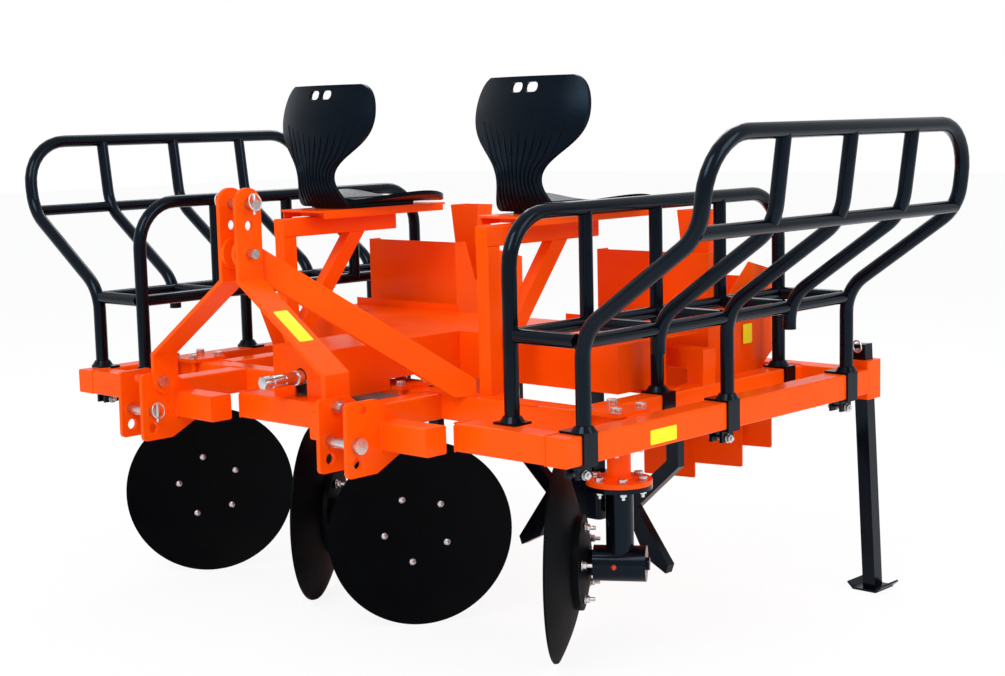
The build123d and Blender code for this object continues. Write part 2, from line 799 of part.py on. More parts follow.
# Planter rows behind the drive housing
for hand, side in sides:
    near = side * unit_inner
    far = side * unit_outer
    mid = (near + far) / 2
    row = side * row_x
    wide = abs(far - near)
    with BuildPart() as unit:
        with BuildSketch(Plane.XZ.offset(-unit_front)):
            with Locations((mid, (frame_low + unit_top) / 2)):
                Rectangle(wide, unit_top - frame_low)
        extrude(amount=-sheet)
        for x in (near if side > 0 else near - sheet, far - sheet if side > 0 else far):
            with BuildSketch(Plane.YZ.offset(x)):
                with BuildLine():
                    Polyline(
                        (unit_front, frame_low), (580, frame_low), (600, 632), (unit_rear, 676),
                        (unit_rear, 915), (548, 944), (440, 850), (396, unit_top),
                        (unit_front, unit_top), close=True,
                    )
                make_face()
            extrude(amount=sheet)
        with BuildSketch(Plane.XZ.offset(-unit_rear)):
            with Locations((mid, 790)):
                Rectangle(wide, 200)
        extrude(amount=sheet)
        with BuildSketch(Plane.XY.offset(frame_low)):
            with Locations((mid, (unit_front + 580) / 2)):
                Rectangle(wide, 580 - unit_front)
        extrude(amount=sheet)
        with BuildSketch(Plane.XY.offset(frame_mid - 25)):
            bracket = inner_rail_x - tube / 2 - unit_outer
            with Locations((side * (inner_rail_x - tube / 2 - bracket / 2), 480)):
                Rectangle(bracket, 60)
        extrude(amount=50)
    unit.part.label = "planter_box_" + hand
    export_step(unit.part, "parts/planter_box_" + hand + ".step")

    # Feed funnel that the operator drops the stakes into
    drop = side * funnel_x
    with BuildPart() as funnel:
        for size, mode in ((0, Mode.ADD), (-2 * sheet, Mode.SUBTRACT)):
            with BuildSketch(Plane.XY.offset(funnel_neck)):
                with Locations((drop, funnel_y)):
                    Rectangle(80 + size, 60 + size)
            with BuildSketch(Plane.XY.offset(funnel_top)):
                with Locations((drop, funnel_y)):
                    Rectangle(funnel_wide + size, funnel_long + size)
            loft(mode=mode)
        for z, y in ((frame_low + sheet, 560), (funnel_neck, funnel_y)):
            with BuildSketch(Plane.XY.offset(z)):
                with Locations((drop, y)):
                    Rectangle(80, 60)
                    Rectangle(80 - 2 * sheet, 60 - 2 * sheet, mode=Mode.SUBTRACT)
        loft()
    funnel.part.label = "feed_funnel_" + hand
    export_step(funnel.part, "parts/feed_funnel_" + hand + ".step")

    # Cultivating tines: two knees with a bar and a body between them
    with BuildPart() as tines:
        for way in (-1, 1):
            hang_z = frame_low if way == side else frame_top + 3
            with BuildSketch(Plane.XZ.offset(-tine_y + tine_t / 2)):
                with BuildLine():
                    Polyline(*[(row + way * out, z) for out, z in (
                        (knee_out, knee_z), (tip_out, tip_z), (tip_out - 9, tip_z - 24),
                        (tip_out - 81, tip_z + 12), (knee_out - 31, knee_z - 25),
                        (knee_out - 31, knee_z + 25), (hanger_out, hanger_z + 40),
                        (hanger_out, hang_z), (hanger_out + tine_w, hang_z),
                        (hanger_out + tine_w, hanger_z + 26),
                    )], close=True)
                make_face()
            extrude(amount=-tine_t)
        with BuildSketch(Plane.XZ.offset(-tine_y + tine_t / 2)):
            with Locations((row, knee_z)):
                Rectangle(2 * knee_out - 50, 50)
        extrude(amount=-tine_t)
        with BuildSketch(Plane.XY.offset(tine_body_low)):
            with Locations((row, tine_y)):
                RectangleRounded(tine_body, 80, 12)
        extrude(amount=tine_body_high - tine_body_low)
        with BuildSketch(Plane.XY.offset(tine_body_high)):
            with Locations((row, tine_y)):
                Rectangle(50, 50)
        extrude(amount=frame_top + 3 - tine_body_high)
    tines.part.label = "tines_" + hand
    export_step(tines.part, "parts/tines_" + hand + ".step")

    # Closing plates behind the row, hung from a plate under the rear beam
    with BuildPart() as closer:
        with BuildSketch(Plane.XY.offset(frame_low - flange_t)):
            with Locations((row, rear_y - tube / 2 - 63)):
                Rectangle(400, 156)
        extrude(amount=flange_t)
        for out, y, angle, across, low in closer_rows:
            lean_in = radians(angle)
            plate = Plane(
                (row + side * out, y, low), x_dir=(cos(lean_in), side * sin(lean_in), 0),
                z_dir=(side * sin(lean_in), -cos(lean_in), 0),
            )
            with BuildSketch(plate):
                with BuildLine():
                    FilletPolyline(
                        (-across / 2, 0), (across / 2, 0), (across / 2, frame_low - 6 - low),
                        (-across / 2, frame_low - 6 - low), radius=5, close=True,
                    )
                make_face()
            extrude(amount=closer_t)
    closer.part.label = "closing_plates_" + hand
    export_step(closer.part, "parts/closing_plates_" + hand + ".step")

# Square elbow posts that stand on the inner rails and reach in under the deck
with BuildPart() as elbows:
    for hand, side in sides:
        with BuildSketch(Plane.XY.offset(frame_top)):
            with Locations((side * inner_rail_x, elbow_y)):
                RectangleRounded(elbow_size, elbow_size, 4)
        extrude(amount=elbow_top - frame_top)
        inward = side * (inner_rail_x + elbow_size / 2)
        with BuildSketch(Plane.YZ.offset(inward)):
            with Locations((elbow_y, elbow_top - elbow_size / 2)):
                RectangleRounded(elbow_size, elbow_size, 4)
        extrude(amount=-side * elbow_reach)
elbows.part.label = "elbow_posts"
export_step(elbows.part, "parts/elbow_posts.step")

# Rear stands in their sockets
for hand, side in sides:
    lean = radians(stand_splay)
    axis = Vector(-side * sin(lean), 0, cos(lean))
    middle = Vector(side * rail_x, stand_y, frame_mid)
    with BuildPart() as socket:
        with BuildSketch(Plane.XY.offset(socket_low)):
            with Locations((side * rail_x, stand_y)):
                RectangleRounded(tube, tube, 5)
        extrude(amount=socket_high - socket_low)
        with BuildSketch(Plane(middle - axis * 100, x_dir=(0, 1, 0), z_dir=axis)):
            Rectangle(stand_size + 2 * stand_clearance, stand_size + 2 * stand_clearance)
        extrude(amount=200, mode=Mode.SUBTRACT)
    socket.part.label = "stand_socket_" + hand
    export_step(socket.part, "parts/stand_socket_" + hand + ".step")

    with BuildPart() as stand:
        down = (frame_mid - 6) / cos(lean)
        up = (stand_top - frame_mid) / cos(lean)
        with BuildSketch(Plane(middle - axis * down, x_dir=(0, 1, 0), z_dir=axis)):
            Rectangle(stand_size, stand_size)
        extrude(amount=down + up)
        foot_x = side * (rail_x + frame_mid * tan(lean))
        with BuildSketch(Plane.XY):
            with Locations((foot_x, stand_y)):
                Rectangle(76, foot_long)
        extrude(amount=6)
        for way in (-1, 1):
            with BuildSketch(Plane.XZ.offset(-stand_y - foot_long / 2)):
                with BuildLine():
                    Polyline(
                        (foot_x + way * 36, 0), (foot_x + way * 56, 18), (foot_x + way * 52, 22),
                        (foot_x + way * 34, 6), close=True,
                    )
                make_face()
            extrude(amount=foot_long)
    stand.part.label = "stand_" + hand
    export_step(stand.part, "parts/stand_" + hand + ".step")
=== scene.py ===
import bpy
import json
from math import radians, sin, cos, sqrt, asin, pi
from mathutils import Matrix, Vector


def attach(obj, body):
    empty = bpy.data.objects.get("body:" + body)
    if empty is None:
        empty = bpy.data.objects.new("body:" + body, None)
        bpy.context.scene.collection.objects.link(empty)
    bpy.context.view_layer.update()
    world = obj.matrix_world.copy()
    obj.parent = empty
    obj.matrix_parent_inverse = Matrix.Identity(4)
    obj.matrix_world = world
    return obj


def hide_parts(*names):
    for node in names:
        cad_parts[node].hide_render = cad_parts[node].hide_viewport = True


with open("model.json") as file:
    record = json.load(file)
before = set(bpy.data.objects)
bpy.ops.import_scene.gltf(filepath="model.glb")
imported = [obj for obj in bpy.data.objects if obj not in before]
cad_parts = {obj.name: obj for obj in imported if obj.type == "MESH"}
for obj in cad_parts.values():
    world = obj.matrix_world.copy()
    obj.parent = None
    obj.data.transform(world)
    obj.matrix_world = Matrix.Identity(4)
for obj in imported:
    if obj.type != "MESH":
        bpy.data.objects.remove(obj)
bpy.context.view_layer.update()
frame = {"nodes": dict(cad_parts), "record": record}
nodes = frame["nodes"]

# sizes below are in mm unless a note says otherwise
mm = 0.001
hands = {"left": -1, "right": 1}
alongX, alongY, alongZ = Vector((1, 0, 0)), Vector((0, 1, 0)), Vector((0, 0, 1))


# shader maths, so that a sum of sockets reads like one
class Value:
    def __init__(self, tree, socket):
        self.tree, self.socket = tree, socket

    def math(self, kind, first, second):
        node = self.tree.nodes.new("ShaderNodeMath")
        node.operation = kind
        for pin, part in zip(node.inputs, (first, second)):
            if isinstance(part, Value):
                self.tree.links.new(part.socket, pin)
            else:
                pin.default_value = part
        return Value(self.tree, node.outputs[0])

    def __add__(self, other):
        return self.math("ADD", self, other)

    def __mul__(self, other):
        return self.math("MULTIPLY", self, other)

    def __rmul__(self, other):
        return self.math("MULTIPLY", other, self)


# any other node: its type, its settings, the values or links of its sockets
def addNode(tree, kind, settings, sockets):
    node = tree.nodes.new("ShaderNode" + kind)
    for key, what in settings.items():
        setattr(node, key, what)
    for key, what in sockets.items():
        if isinstance(what, Value):
            tree.links.new(what.socket, node.inputs[key])
        elif isinstance(what, bpy.types.NodeSocket):
            tree.links.new(what, node.inputs[key])
        else:
            node.inputs[key].default_value = what
    return node


def noise(tree, scale, detail, rough):
    place = addNode(tree, "TexCoord", {}, {}).outputs["Object"]
    sockets = {"Scale": scale, "Detail": detail, "Roughness": rough, "Vector": place}
    return Value(tree, addNode(tree, "TexNoise", {}, sockets).outputs["Fac"])


def mixColor(tree, factor, first, second):
    sockets = {"Factor": factor, "A": (*first, 1), "B": (*second, 1)}
    return addNode(tree, "Mix", {"data_type": "RGBA"}, sockets).outputs["Result"]


# one look per finish: two tones that the patches blend, gloss, peel of the paint, tint of the sheen
blueSheen = (0.45, 0.72, 1, 1)
looks = {
    "orangePaint": dict(light=(1.0, 0.102, 0.002), dark=(0.95, 0.072, 0.001), metal=0, rough=0.24,
                        spread=0.10, coat=0.04, shine=0.06, peel=420, depth=0.05, patch=7),
    "blackPaint": dict(light=(0.003, 0.004, 0.007), dark=(0.001, 0.001, 0.002), metal=0, rough=0.16,
                       spread=0.08, coat=0.05, shine=0.17, peel=600, depth=0.05, patch=9, tint=blueSheen),
    "discBlack": dict(light=(0.002, 0.003, 0.004), dark=(0.0005, 0.0005, 0.001), metal=0, rough=0.5,
                      spread=0.15, coat=0.0, shine=0.05, peel=300, depth=0.08, patch=12),
    "seatPlastic": dict(light=(0.003, 0.005, 0.009), dark=(0.001, 0.002, 0.004), metal=0, rough=0.22,
                        spread=0.1, coat=0.0, shine=0.12, peel=1500, depth=0.12, patch=20, tint=blueSheen),
    "zincPlate": dict(light=(0.80, 0.80, 0.82), dark=(0.48, 0.46, 0.42), metal=1, rough=0.3,
                      spread=0.25, coat=0, shine=0.5, peel=900, depth=0.06, patch=60),
    "brightSteel": dict(light=(0.78, 0.78, 0.79), dark=(0.5, 0.49, 0.47), metal=1, rough=0.22,
                        spread=0.2, coat=0, shine=0.5, peel=700, depth=0.04, patch=40),
    "greyIron": dict(light=(0.16, 0.16, 0.16), dark=(0.07, 0.07, 0.07), metal=0.6, rough=0.6,
                     spread=0.2, coat=0, shine=0.4, peel=240, depth=0.3, patch=30),
    "stickerYellow": dict(light=(1.0, 0.84, 0.01), dark=(0.95, 0.76, 0.01), metal=0, rough=0.35,
                          spread=0.1, coat=0.05, shine=0.2, peel=900, depth=0.03, patch=25),
    "nippleRed": dict(light=(0.75, 0.05, 0.01), dark=(0.5, 0.03, 0.01), metal=0, rough=0.4,
                      spread=0.1, coat=0.1, shine=0.4, peel=900, depth=0.03, patch=90),
}
grain = dict(coatRough=0.08, wideDetail=5, wideRough=0.6, fineDetail=2, fineRough=0.5, wideShare=0.4)


def makeLook(name, light, dark, metal, rough, spread, coat, shine, peel, depth, patch, tint=(1, 1, 1, 1)):
    mat = bpy.data.materials.new(name)
    mat.use_nodes = True
    tree = mat.node_tree
    shader = tree.nodes["Principled BSDF"]
    fixed = {"Metallic": metal, "Coat Weight": coat, "Coat Roughness": grain["coatRough"],
             "Specular IOR Level": shine, "Specular Tint": tint}
    for key, value in fixed.items():
        shader.inputs[key].default_value = value
    wide = noise(tree, patch, grain["wideDetail"], grain["wideRough"])
    fine = noise(tree, peel, grain["fineDetail"], grain["fineRough"])
    height = fine + grain["wideShare"] * wide
    bump = addNode(tree, "Bump", {}, {"Strength": depth, "Distance": mm, "Height": height})
    tree.links.new(mixColor(tree, wide, dark, light), shader.inputs["Base Color"])
    tree.links.new((wide * spread + (rough - spread / 2)).socket, shader.inputs["Roughness"])
    tree.links.new(bump.outputs["Normal"], shader.inputs["Normal"])
    return mat


mats = {name: makeLook(name, **look) for name, look in looks.items()}
slotLook = {
    "orange_paint": "orangePaint", "black_paint": "blackPaint", "disc_black": "discBlack",
    "black_plastic": "seatPlastic", "zinc": "zincPlate", "bright_steel": "brightSteel",
    "grey_iron": "greyIron",
}
nodeSlot = {p["node"]: p["material_slot"] for p in frame["record"]["subparts"]}
for name, obj in nodes.items():
    obj.data.materials.clear()
    obj.data.materials.append(mats[slotLook[nodeSlot[name]]])
print("materials done")


def clearPick():
    bpy.ops.object.select_all(action="DESELECT")


def pickOnly(obj):
    clearPick()
    obj.select_set(True)
    bpy.context.view_layer.objects.active = obj


def current():
    return bpy.context.view_layer.objects.active


def useModifier(obj, kind, **values):
    pickOnly(obj)
    mod = obj.modifiers.new(kind.lower(), kind)
    for key, value in values.items():
        setattr(mod, key, value)
    bpy.ops.object.modifier_apply(modifier=mod.name)


# stretch of the whole mesh about its middle, as factors
def stretch(x, y, z):
    bpy.ops.object.mode_set(mode="EDIT")
    bpy.ops.mesh.select_all(action="SELECT")
    bpy.ops.transform.resize(value=(x, y, z))
    bpy.ops.object.mode_set(mode="OBJECT")


def fuse(parts, name):
    clearPick()
    for part in parts:
        part.select_set(True)
    bpy.context.view_layer.objects.active = parts[0]
    if len(parts) > 1:
        bpy.ops.object.join()
    obj = current()
    bpy.ops.object.transform_apply(location=True, rotation=True, scale=True)
    obj.name = obj.data.name = name
    return obj


# copies of one model, each with its own mesh; a spot is a place and the way that the model's z points
def copies(model, spots):
    made = []
    for place, way in spots:
        twin = model.copy()
        twin.data = model.data.copy()
        bpy.context.collection.objects.link(twin)
        twin.rotation_euler = Vector(way).to_track_quat("Z", "Y").to_euler()
        twin.location = Vector(place) * mm
        made.append(twin)
    return made


def dropModels(*models):
    for model in models:
        bpy.data.objects.remove(model, do_unlink=True)


# finished piece in its slot's look, or in one of its own
def finishPiece(parts, name, body, slotName, look=None, smooth=35):
    obj = fuse(parts, name)
    bpy.ops.object.shade_smooth_by_angle(angle=radians(smooth))
    obj.data.materials.clear()
    obj.data.materials.append(mats[look or slotLook[slotName]])
    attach(obj, body)
    return obj


# rod with bevelled ends, upright or lying along y
def addRod(radius, length, place=(0, 0, 0), lying=False, sides=16, edge=1.5, steps=2):
    clearPick()
    bpy.ops.mesh.primitive_cylinder_add(vertices=sides, radius=radius * mm, depth=length * mm,
                                        location=Vector(place) * mm,
                                        rotation=(radians(90) if lying else 0, 0, 0))
    useModifier(current(), "BEVEL", width=edge * mm, segments=steps)
    return current()


# hex nut or head with its washer, standing on z 0; edges and stub width are shares of the width across flats
hexShape = dict(edge=0.05, washerTall=2, washerSides=24, washerEdge=0.5, stub=0.3, stubEdge=0.06)


def hexHead(across, tall, washer, stub=0):
    base = hexShape["washerTall"]
    parts = [
        addRod(across / sqrt(3), tall, (0, 0, base + tall / 2), sides=6, edge=across * hexShape["edge"]),
        addRod(washer, base, (0, 0, base / 2), sides=hexShape["washerSides"],
               edge=hexShape["washerEdge"], steps=1),
    ]
    if stub:
        parts.append(addRod(across * hexShape["stub"], stub, (0, 0, base + tall + stub / 2),
                            edge=across * hexShape["stubEdge"], steps=1))
    return fuse(parts, "hexModel")


# low dome, as on a coach bolt
def domeHead(radius, tall):
    clearPick()
    bpy.ops.mesh.primitive_uv_sphere_add(segments=20, ring_count=12, radius=radius * mm)
    bpy.ops.object.mode_set(mode="EDIT")
    bpy.ops.mesh.select_all(action="SELECT")
    bpy.ops.mesh.bisect(plane_co=(0, 0, 0), plane_no=(0, 0, 1), use_fill=True, clear_inner=True)
    bpy.ops.mesh.select_all(action="SELECT")
    bpy.ops.transform.resize(value=(1, 1, tall / radius))
    bpy.ops.mesh.normals_make_consistent(inside=False)
    bpy.ops.object.mode_set(mode="OBJECT")
    return fuse([current()], "domeModel")


# slightly oval ring of round wire
def wireRing(major, minor, oval=1.12):
    clearPick()
    bpy.ops.mesh.primitive_torus_add(major_radius=major * mm, minor_radius=minor * mm, major_segments=36,
                                     minor_segments=10)
    stretch(1, oval, 1)
    return fuse([current()], "ringModel")


# empty curve that becomes a round tube, and its one spline
def newPath(kind, radius, roundness, steps=12):
    path = bpy.data.curves.new("path", "CURVE")
    path.dimensions = "3D"
    path.bevel_depth = radius * mm
    path.bevel_resolution = roundness
    path.resolution_u = steps
    path.use_fill_caps = True
    return path, path.splines.new(kind)


def pathMesh(path):
    tube = bpy.data.objects.new("tube", path)
    bpy.context.collection.objects.link(tube)
    pickOnly(tube)
    bpy.ops.object.convert(target="MESH")
    return current()


# discs: leg's place, side that the dish looks to, angle of the first bolt in degrees
legs = dict(outer=840.5, inner=84.5, y=-239)
discs = {
    "left_outer": dict(leg=(-legs["outer"], legs["y"]), facing=1, first=-10),
    "left_inner": dict(leg=(-legs["inner"], legs["y"]), facing=-1, first=20),
    "right_inner": dict(leg=(legs["inner"], legs["y"]), facing=1, first=-26),
    "right_outer": dict(leg=(legs["outer"], legs["y"]), facing=-1, first=8),
}
dish = dict(turn=57, reach=158, deep=60, radius=254)


# leg's point at the disc's height, the way that the dish looks, the level way across it
def discWays(disc):
    turn = radians(dish["turn"])
    forward = Vector((disc["facing"] * sin(turn), -cos(turn), 0))
    return Vector((*disc["leg"], dish["radius"])), forward, alongZ.cross(forward)


# coach bolts through each dish, nuts behind the hub plate
discBolts = dict(count=5, circle=93, head=10.5, dome=6, sunk=1, behind=13,
                 nut=dict(across=17, tall=10, washer=13, stub=14))
bowlRadius = (dish["radius"] ** 2 + dish["deep"] ** 2) / (2 * dish["deep"])
sag = bowlRadius - sqrt(bowlRadius ** 2 - discBolts["circle"] ** 2)
tilt = asin(discBolts["circle"] / bowlRadius)
dome = domeHead(discBolts["head"], discBolts["dome"])
nut = hexHead(**discBolts["nut"])
for label, disc in discs.items():
    leg, forward, level = discWays(disc)
    bowl = leg + forward * (dish["reach"] - dish["deep"])
    front, back = [], []
    for i in range(discBolts["count"]):
        angle = radians(disc["first"] + 360 / discBolts["count"] * i)
        out = alongZ * cos(angle) + level * sin(angle)
        foot = bowl + out * discBolts["circle"]
        front.append((foot + forward * (sag - discBolts["sunk"]), forward * cos(tilt) - out * sin(tilt)))
        back.append((foot - forward * discBolts["behind"], -forward))
    finishPiece(copies(dome, front) + copies(nut, back), "discBolts_" + label,
                "disc_" + label + "_body", "zinc")
dropModels(dome, nut)
print("disc bolts done")

# bolts of the leg flanges, bolts and nuts of the leg clamps
legJoint = dict(circle=62, bolts=6, firstTurn=0.3, flangeTop=470, flangeLow=446, plateLow=556, clampTop=648,
                plateY=-255, pitchX=46, pitchY=48, head=dict(across=21, tall=9, washer=13),
                nut=dict(across=17, tall=8, washer=11, stub=9), clampNut=dict(across=24, tall=12, washer=15))
flangeHead = hexHead(**legJoint["head"])
flangeNut = hexHead(**legJoint["nut"])
clampNut = hexHead(**legJoint["clampNut"])
headSpots, nutSpots, clampSpots = [], [], []
for disc in discs.values():
    x, y = disc["leg"]
    for i in range(legJoint["bolts"]):
        angle = 2 * pi * i / legJoint["bolts"] + legJoint["firstTurn"]
        place = (x + legJoint["circle"] * cos(angle), y + legJoint["circle"] * sin(angle))
        headSpots.append(((*place, legJoint["flangeTop"]), alongZ))
        nutSpots.append(((*place, legJoint["flangeLow"]), -alongZ))
    for dx in (-legJoint["pitchX"], legJoint["pitchX"]):
        for dy in (-legJoint["pitchY"], legJoint["pitchY"]):
            place = (x + dx, legJoint["plateY"] + dy)
            nutSpots.append(((*place, legJoint["plateLow"]), -alongZ))
            clampSpots.append(((*place, legJoint["clampTop"]), alongZ))
finishPiece(copies(flangeHead, headSpots) + copies(flangeNut, nutSpots) + copies(clampNut, clampSpots),
            "legBolts", "frame", "zinc")
dropModels(flangeHead, flangeNut, clampNut)

# grease nipples on the front sides of the bearing housings
nipples = dict(radius=7, tall=9, along=12, out=44.5)
nipple = domeHead(nipples["radius"], nipples["tall"])
spots = []
for disc in discs.values():
    leg, forward, level = discWays(disc)
    out = level * -disc["facing"]
    spots.append((leg + forward * nipples["along"] + out * nipples["out"], out))
finishPiece(copies(nipple, spots), "greaseNipples", "frame", "zinc", "nippleRed")
dropModels(nipple)

# bolts through the ears of the rack straps: the rail carries three on each side, the inner rail two
straps = dict(rail=946, inner=742, y=(-518, 47, 612), z=541, ear=20, rod=6, rodSides=20, rodEdge=1,
              nut=dict(across=19, tall=9, washer=12, stub=6))
strapNut = hexHead(**straps["nut"])
rod = addRod(straps["rod"], 2 * straps["ear"], sides=straps["rodSides"], edge=straps["rodEdge"], steps=1)
strapRod = fuse([rod], "rodModel")
nutSpots, rodSpots = [], []
for side in hands.values():
    for x, ys in ((straps["rail"], straps["y"]), (straps["inner"], straps["y"][1:])):
        for y in ys:
            rodSpots.append(((side * x, y, straps["z"]), alongX))
            for way in (-1, 1):
                nutSpots.append(((side * x + way * straps["ear"], y, straps["z"]), way * alongX))
finishPiece(copies(strapNut, nutSpots) + copies(strapRod, rodSpots), "strapBolts", "frame", "zinc")
dropModels(strapNut, strapRod)
print("frame bolts done")

# linchpins of the hitch: a straight pin with a ring on its head; a spot is a place and the ring's side
linchpins = dict(pin=4.5, long=52, ring=19, wire=2.2, aside=4, above=6, lean=(1, 0, 0.25), spots=[
    ((-336, -771, 593), 1), ((64, -730, 1162), 1), ((-66, -730, 1162), -1),
])
ring = wireRing(linchpins["ring"], linchpins["wire"])
parts = []
for place, way in linchpins["spots"]:
    parts.append(addRod(linchpins["pin"], linchpins["long"], place))
    x, y, z = place
    parts += copies(ring, [((x + way * linchpins["aside"], y, z + linchpins["above"]), linchpins["lean"])])
finishPiece(parts, "linchpins", "frame", "zinc")
dropModels(ring)

# ring pins that hold the stands; a stand leans in, so its x goes with the height above the socket's middle
standPin = dict(x=946, y=738, z=690, middle=603, lean=3, pin=5, long=62, ring=15, wire=2.4, ahead=29,
                above=11, ringWay=(0.2, 1, 0.1))
ring = wireRing(standPin["ring"], standPin["wire"])
for hand, side in hands.items():
    x = side * (standPin["x"] - (standPin["z"] - standPin["middle"]) * sin(radians(standPin["lean"])))
    y, z = standPin["y"], standPin["z"]
    rod = addRod(standPin["pin"], standPin["long"], (x, y, z), lying=True)
    hoop = copies(ring, [((x, y - standPin["ahead"], z + standPin["above"]), standPin["ringWay"])])
    finishPiece([rod] + hoop, "standPin_" + hand, "stand_" + hand + "_body", "zinc")
dropModels(ring)
print("pins done")

# pleats down the back of each seat: rise above the tray, rear face, half width, wing
pleats = dict(base=1108, seat=409, count=11, radius=5.5, roundness=3, steps=10, fan=0.84, off=1, startLift=28,
              startThin=0.25, rows=[
                  (222, -113, 176, 37), (162, -120, 128, 20), (104, -126, 79, 8), (57, -117, 85, 7),
                  (9, -88, 100, 8),
              ])


# one pleat of the seat at mid; share runs from -1 to 1 across the back
def pleat(mid, share):
    path, spline = newPath("BEZIER", pleats["radius"], pleats["roundness"], pleats["steps"])
    spline.bezier_points.add(len(pleats["rows"]) - 1)
    for i, (point, row) in enumerate(zip(spline.bezier_points, pleats["rows"])):
        rise, rear, wide, wing = row
        if i == 0:
            rise += pleats["startLift"] * share ** 2
        across = share * pleats["fan"] * wide
        back = rear + wing * (across / wide) ** 2 + pleats["off"]
        point.co = Vector((mid + across, back, pleats["base"] + rise)) * mm
        point.handle_left_type = point.handle_right_type = "AUTO"
        point.radius = pleats["startThin"] if i == 0 else 1
    return pathMesh(path)


shares = [2 * i / (pleats["count"] - 1) - 1 for i in range(pleats["count"])]
for hand, side in hands.items():
    ribs = [pleat(side * pleats["seat"], share) for share in shares]
    finishPiece(ribs, "seatPleats_" + hand, "frame", "black_plastic", smooth=60)
print("seat pleats done")

# crop racks of bent tube, thinner rungs and shelf bars
racks = dict(tube=19, rung=18, bar=17, roundness=5, arcSteps=8, bays=4, front=-518, rear=612, foot=658,
             shelf=852, inner=742, innerTop=1140, innerBend=130, outer=966, under=60, knee=874, flareX=333,
             flareZ=1106, topX=362, topZ=1324, barIn=8, barUp=2, kneeBend=120, flareBend=125, corner=140)


# path through the points, with an arc of each bend's radius at the points between the ends
def roundCorners(points, bends):
    path = [Vector(points[0])]
    for i, bend in enumerate(bends):
        before, here, after = (Vector(p) for p in points[i:i + 3])
        back, on = (before - here).normalized(), (after - here).normalized()
        half = back.angle(on) / 2
        reach = bend / sin(half) * cos(half)
        middle = here + (back + on).normalized() * (bend / sin(half))
        start, end = here + back * reach - middle, here + on * reach - middle
        for k in range(racks["arcSteps"] + 1):
            path.append(middle + start.slerp(end, k / racks["arcSteps"]).normalized() * bend)
    path.append(Vector(points[-1]))
    return path


def bentTube(points, bends, radius):
    path, spline = newPath("POLY", radius, racks["roundness"])
    dots = roundCorners(points, bends)
    spline.points.add(len(dots) - 1)
    for dot, place in zip(spline.points, dots):
        dot.co = (*(place * mm), 1)
    return pathMesh(path)


front, rear, foot, shelf = (racks[key] for key in ("front", "rear", "foot", "shelf"))
stations = [front + (rear - front) / racks["bays"] * i for i in range(1, racks["bays"])]
middleStation = stations[len(stations) // 2]
for hand, side in hands.items():
    x, high = side * racks["inner"], racks["innerTop"]
    hoop = [(x, front, foot), (x, front, high), (x, rear, high), (x, rear, foot)]
    parts = [bentTube(hoop, [racks["innerBend"]] * 2, racks["tube"])]
    for y in stations:
        low = foot if y == middleStation else shelf
        parts.append(bentTube([(x, y, low), (x, y, high)], [], racks["rung"]))
    parts.append(bentTube([(x, front, shelf), (x, rear, shelf)], [], racks["bar"]))
    piece = finishPiece(parts, "rackInner_" + hand, "frame", "black_paint")
    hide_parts("rack_inner_" + hand)

    x = side * racks["outer"]
    flare = [(x, foot), (x, racks["knee"]), (x + side * racks["flareX"], racks["flareZ"]),
             (x + side * racks["topX"], racks["topZ"])]
    loop = [(a, front, z) for a, z in flare] + [(a, rear, z) for a, z in flare[::-1]]
    rising = [racks["kneeBend"], racks["flareBend"]]
    parts = [bentTube(loop, rising + [racks["corner"]] * 2 + rising[::-1], racks["tube"])]
    for y in stations:
        start = (x, foot if y == middleStation else shelf - racks["under"])
        parts.append(bentTube([(a, y, z) for a, z in [start] + flare[1:]], rising, racks["rung"]))
    flareBar = (x + side * (racks["flareX"] - racks["barIn"]), racks["flareZ"] + racks["barUp"])
    for a, z in ((x, shelf), flareBar):
        parts.append(bentTube([(a, front, z), (a, rear, z)], [], racks["bar"]))
    piece = finishPiece(parts, "rackOuter_" + hand, "frame", "black_paint")
    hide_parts("rack_outer_" + hand)
print("racks done")

# drive shaft: splines cut past its tip, a locking groove, a thicker shank
splines = dict(count=6, radius=17.5, root=15.2, slot=8, deep=10, long=78, past=5, tip=-677, shoulder=-565,
               rear=-422, height=691, sides=72, shank=20.5, shankSides=64, shankEdge=2, groove=-648,
               grooveOut=2, grooveWire=4)
shaft = addRod(splines["radius"], splines["shoulder"] - splines["tip"],
               (0, (splines["shoulder"] + splines["tip"]) / 2, splines["height"]), lying=True,
               sides=splines["sides"])
cutters = []
for i in range(splines["count"]):
    angle = 2 * pi * i / splines["count"]
    reach = splines["root"] + splines["deep"] / 2
    place = (reach * sin(angle), splines["tip"] - splines["past"] + splines["long"] / 2,
             splines["height"] + reach * cos(angle))
    clearPick()
    bpy.ops.mesh.primitive_cube_add(size=1, location=Vector(place) * mm, rotation=(0, angle, 0),
                                    scale=Vector((splines["slot"], splines["long"], splines["deep"])) * mm)
    cutters.append(current())
clearPick()
bpy.ops.mesh.primitive_torus_add(major_radius=(splines["radius"] + splines["grooveOut"]) * mm,
                                 minor_radius=splines["grooveWire"] * mm,
                                 major_segments=64, minor_segments=16,
                                 location=(0, splines["groove"] * mm, splines["height"] * mm),
                                 rotation=(radians(90), 0, 0))
cutters.append(current())
cutter = fuse(cutters, "splineCutter")
useModifier(shaft, "BOOLEAN", operation="DIFFERENCE", object=cutter, solver="EXACT", use_self=True)
dropModels(cutter)
shank = addRod(splines["shank"], splines["rear"] - splines["shoulder"],
               (0, (splines["rear"] + splines["shoulder"]) / 2, splines["height"]), lying=True,
               sides=splines["shankSides"], edge=splines["shankEdge"])
shaftPiece = finishPiece([shaft, shank], "splinedShaft", "drive_shaft_body", "bright_steel", smooth=30)
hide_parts("pto_shaft")
print("shaft done")

# weld beads: rows of overlapping drops
bead = dict(radius=4.2, step=3.1, flat=0.75)


